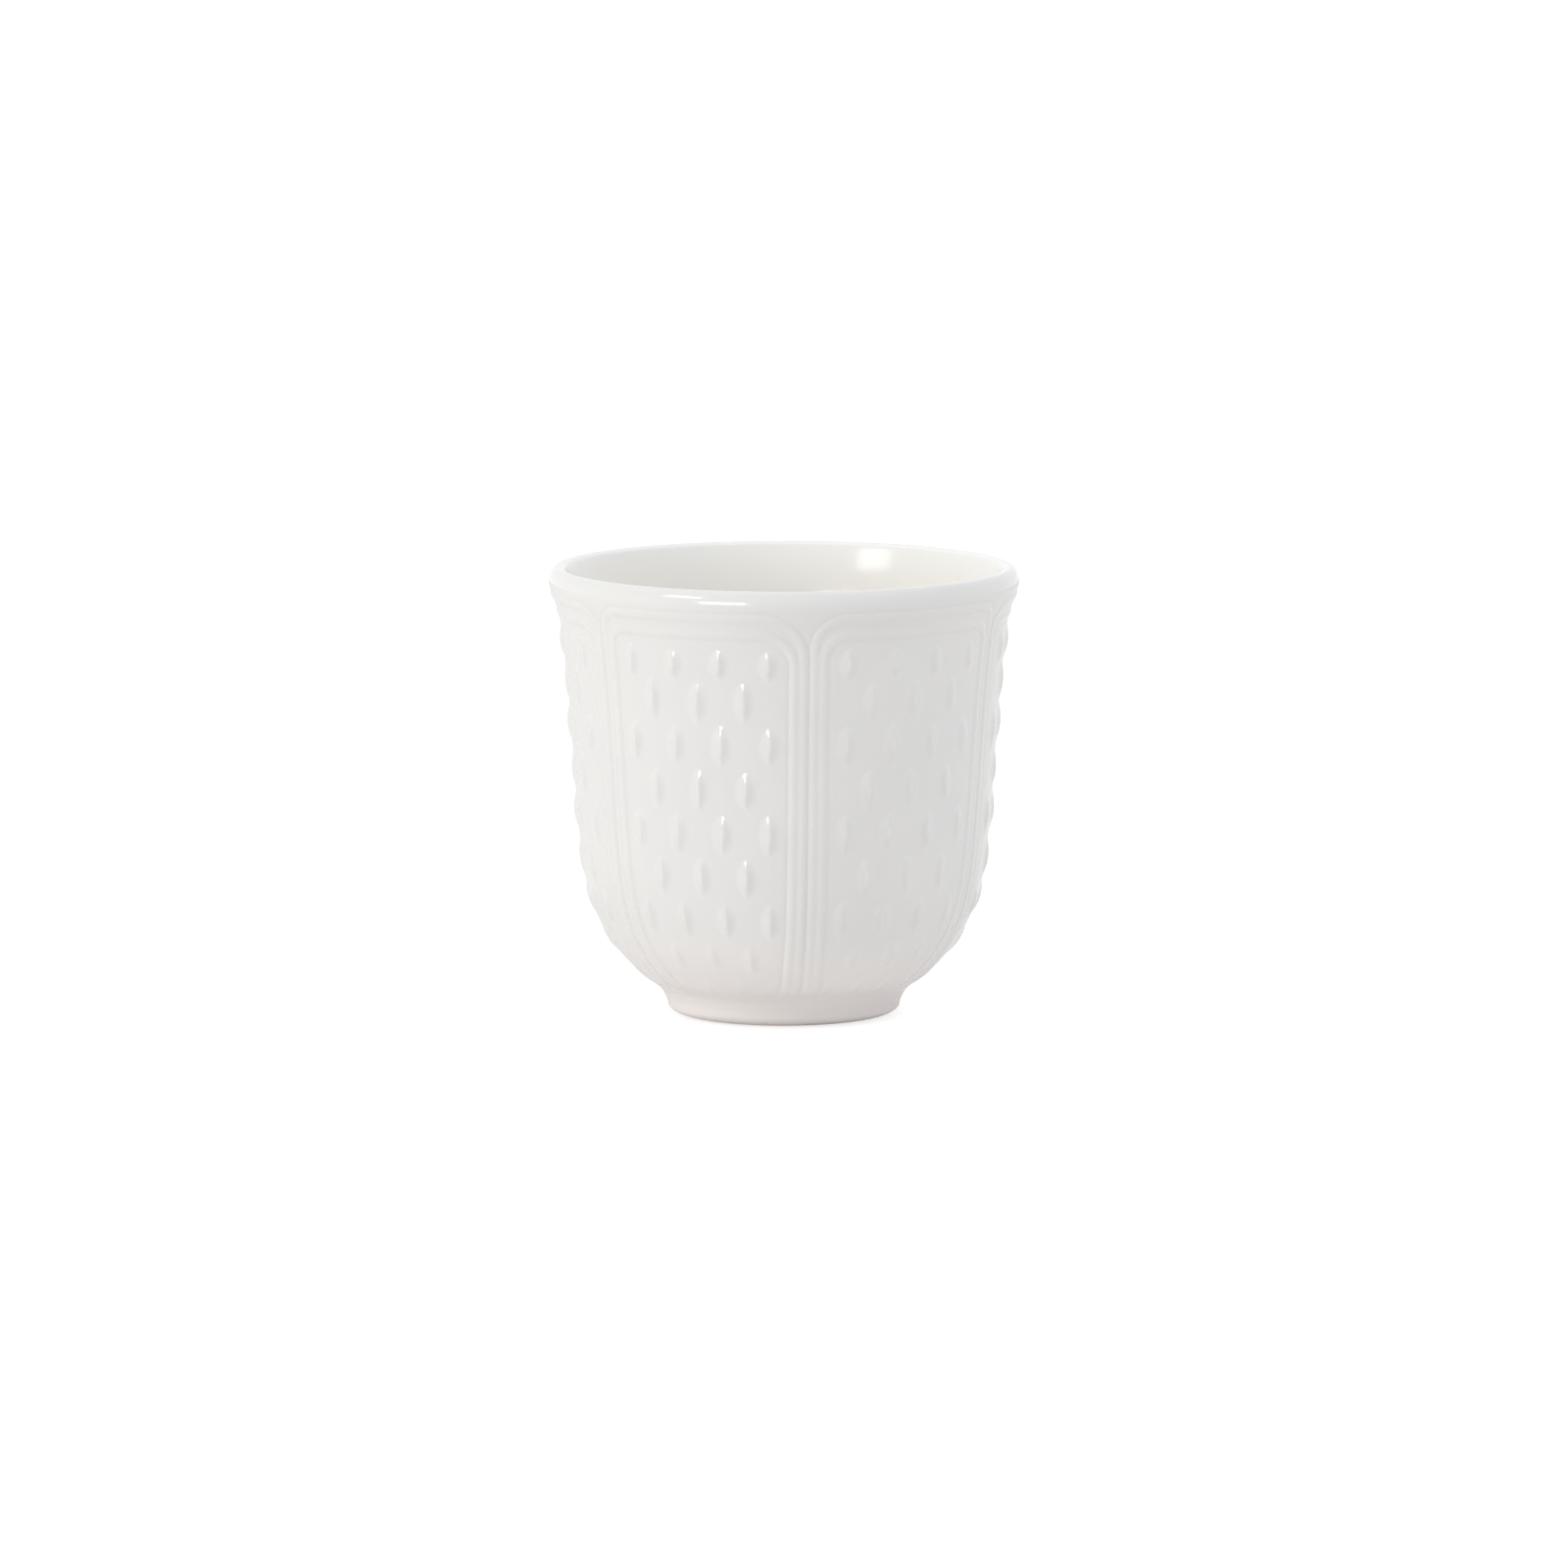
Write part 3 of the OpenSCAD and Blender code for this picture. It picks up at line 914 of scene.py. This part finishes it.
def white_glaze():
    """The glaze outside, with a clear skin of its own."""
    n, place, base = glaze("white_glaze", WHITE, WHITE_COOL)
    n.fill(SHADER, Base_Color=base, Roughness=gloss(n, place, WHITE_ROUGHNESS))
    n.fill(SHADER, Coat_Weight=WHITE_COAT, Coat_Roughness=COAT_ROUGHNESS)
    return n.owner


def ivory_glaze():
    """The lining's glaze, ivory where it is thick, with light painted on it palest at the lip."""
    n, place, base = glaze("ivory_glaze", IVORY, IVORY_PALE)
    n.fill(SHADER, Base_Color=base, Roughness=gloss(n, place, IVORY_ROUGHNESS))
    return n.owner


def foot_glaze():
    """Glaze on the foot's sides, wiped off the ring that it stands on."""
    n, place, glazed = glaze("foot_glaze", WHITE, WHITE_COOL)
    ragged = n.noise(place, RAGGED_SIZE, RAGGED_DETAIL)
    ragged = n.fit(ragged, NOISE_MIDDLE, (-RAGGED_H * MM, RAGGED_H * MM))
    edge = n.calculate("ADD", height_of(n, place), ragged)
    bare = n.fit(edge, [height * MM for height in BARE_SPAN])
    clay = n.mix(n.noise(place, CLAY_SIZE, CLAY_DETAIL), CLAY, CLAY_PALE)
    n.fill(SHADER, Base_Color=n.mix(bare, glazed, clay), Roughness=n.fit(bare, (0, 1), FOOT_ROUGHNESS))
    return n.owner


# The cup

white = white_glaze()
for k in range(1, PANELS + 1):
    make_panel(k, white)
make_bowl(white)
make_lining(ivory_glaze())
make_foot(foot_glaze())


# Floor, light and camera

# Camera, in millimetres and degrees, with the picture taken as 1600 pixels wide
PICTURE_PX = 1600
SENSOR = 36.0
FOCAL_PX = 16231
CAMERA_AWAY = 2200.0
CAMERA_H = 313.8
CAMERA_TURN = -6.5
CAMERA_REACH = 20000.0
# Point on the cup's axis that the camera and the lamps are aimed at
AIM_H = 32.18
AIM = Vector((0, 0, AIM_H * MM))

FLOOR_SIZE = 8000.0
FLOOR_GAP = 0.05
# The floor as the cup sees it: paint, and the light that a white table sends up
FLOOR_PAINT = colour(0.88, 0.865, 0.85)
TABLE_COLOUR = colour(1, 0.98, 0.97)
TABLE_LIGHT = 0.071
# The floor as the camera sees it: plain white, with enough paint for a shadow
SHOWN_PAINT = colour(0.4, 0.4, 0.4)
SHOWN_WHITE = 0.75
# The floor nearer than this to the cup is mirrored in its glaze as the pale paint that it is
MIRRORED_FROM = 700.0

# Strength of the light from all round, at the horizon and overhead, and as it shows
SKY_LOW = 0.43
SKY_HIGH = 0.936
SKY_SHOWN = 1.0
SKY_COLOUR = (0.97, 0.985, 1.0)
WINDOW_COLOUR = (1.0, 0.98, 0.91)
KEY_COLOUR = (1.0, 0.985, 0.94)
STRIP_COLOUR = (0.95, 0.97, 1.0)


def seen_directly(n, mirrored_from=0.0):
    """1 for rays that show plain white: straight, through glass, or mirrored from far enough away."""
    path = n.add("ShaderNodeLightPath").outputs
    far = n.calculate("GREATER_THAN", path["Ray Length"], mirrored_from * MM)
    mirrored = n.calculate("MULTIPLY", path["Is Glossy Ray"], far)
    shown = n.calculate("MAXIMUM", path["Is Camera Ray"], path["Is Transmission Ray"])
    return n.calculate("MAXIMUM", shown, mirrored)


def make_world():
    """Soft light from all round, stronger from above, which shows as plain white."""
    n = Nodes(bpy.data.worlds.new("studio"))
    way = n.add("ShaderNodeTexCoord").outputs["Generated"]
    sky = n.fit(height_of(n, way), (0, 1), (SKY_LOW, SKY_HIGH))
    shown = seen_directly(n)
    level = n.mix_numbers(shown, sky, SKY_SHOWN)
    n.fill("Background", Strength=level, Color=n.mix(shown, colour(*SKY_COLOUR), PLAIN_WHITE))
    bpy.context.scene.world = n.owner


def lit_paint(n, paint, light, strength):
    """Paint that gives some light of its own."""
    diffuse = n.add("ShaderNodeBsdfDiffuse", {"Color": paint}).outputs[0]
    glow = n.add("ShaderNodeEmission", {"Color": light, "Strength": strength}).outputs[0]
    return n.add("ShaderNodeAddShader", {0: diffuse, 1: glow}).outputs[0]


def make_floor():
    """A white sweep: it shows white, and takes a soft shadow from the cup."""
    half = FLOOR_SIZE / 2 * MM
    low = -FLOOR_GAP * MM
    places = [(x * half, y * half, low) for x, y in ((-1, -1), (1, -1), (1, 1), (-1, 1))]
    mesh = bpy.data.meshes.new("floor")
    mesh.from_pydata(places, [], [(0, 1, 2, 3)])
    n = Nodes(bpy.data.materials.new("floor_paint"))
    paint = lit_paint(n, FLOOR_PAINT, TABLE_COLOUR, TABLE_LIGHT)
    shown = lit_paint(n, SHOWN_PAINT, PLAIN_WHITE, SHOWN_WHITE)
    both = n.add("ShaderNodeMixShader", {0: seen_directly(n, MIRRORED_FROM), 1: paint, 2: shown})
    n.fill("Material Output", Surface=both.outputs[0])
    mesh.materials.append(n.owner)
    floor = add_object("floor", mesh)


def around(turn, rise, away):
    """A place in metres, by its angle from the camera's side, its angle upwards and its distance."""
    a, e = math.radians(CAMERA_TURN + turn), math.radians(rise)
    flat = away * math.cos(e)
    return Vector((flat * math.sin(a), -flat * math.cos(a), away * math.sin(e))) * MM


def aim(thing):
    """Turns a lamp or a camera towards the cup."""
    thing.rotation_mode = "QUATERNION"
    thing.rotation_quaternion = (AIM - thing.location).to_track_quat("-Z", "Y")


def make_lamp(name, turn, rise, away, width, height, power, tint):
    """A rectangular lamp aimed at the cup. Its turn is from the camera's side, and its power in watts."""
    data = bpy.data.lights.new(name, "AREA")
    data.color = tint
    data.shape = "RECTANGLE"
    data.size = width * MM
    data.size_y = height * MM
    data.energy = power
    lamp = add_object(name, data)
    lamp.location = around(turn, rise, away) + AIM
    aim(lamp)
    return lamp


def make_camera():
    """The photograph's camera, a little above the cup and a long way off."""
    data = bpy.data.cameras.new("camera")
    data.sensor_width = SENSOR
    data.lens = FOCAL_PX / PICTURE_PX * SENSOR
    data.clip_end = CAMERA_REACH * MM
    camera = add_object("camera", data)
    turn = math.radians(CAMERA_TURN)
    right, back = math.sin(turn) * CAMERA_AWAY, -math.cos(turn) * CAMERA_AWAY
    camera.location = Vector((right, back, CAMERA_H)) * MM
    aim(camera)
    bpy.context.scene.camera = camera


make_world()
make_floor()
window = make_lamp(
    "window", turn=-68, rise=13, away=1500, width=900, height=600, power=6.0, tint=WINDOW_COLOUR
)
fill = make_lamp("fill", turn=75, rise=50, away=1300, width=500, height=400, power=2.5, tint=SKY_COLOUR)
# These two are so soft that the glaze doesn't mirror them
window.visible_glossy = False
fill.visible_glossy = False
make_lamp("key", turn=-55, rise=34, away=1200, width=360, height=190, power=1.15, tint=KEY_COLOUR)
strip = make_lamp("strip", turn=-30, rise=9, away=1200, width=480, height=220, power=2.7, tint=STRIP_COLOUR)
# The strip only gives the gloss on the lip and the grains
strip.visible_diffuse = False
make_camera()
bpy.context.scene.view_settings.view_transform = "Standard"
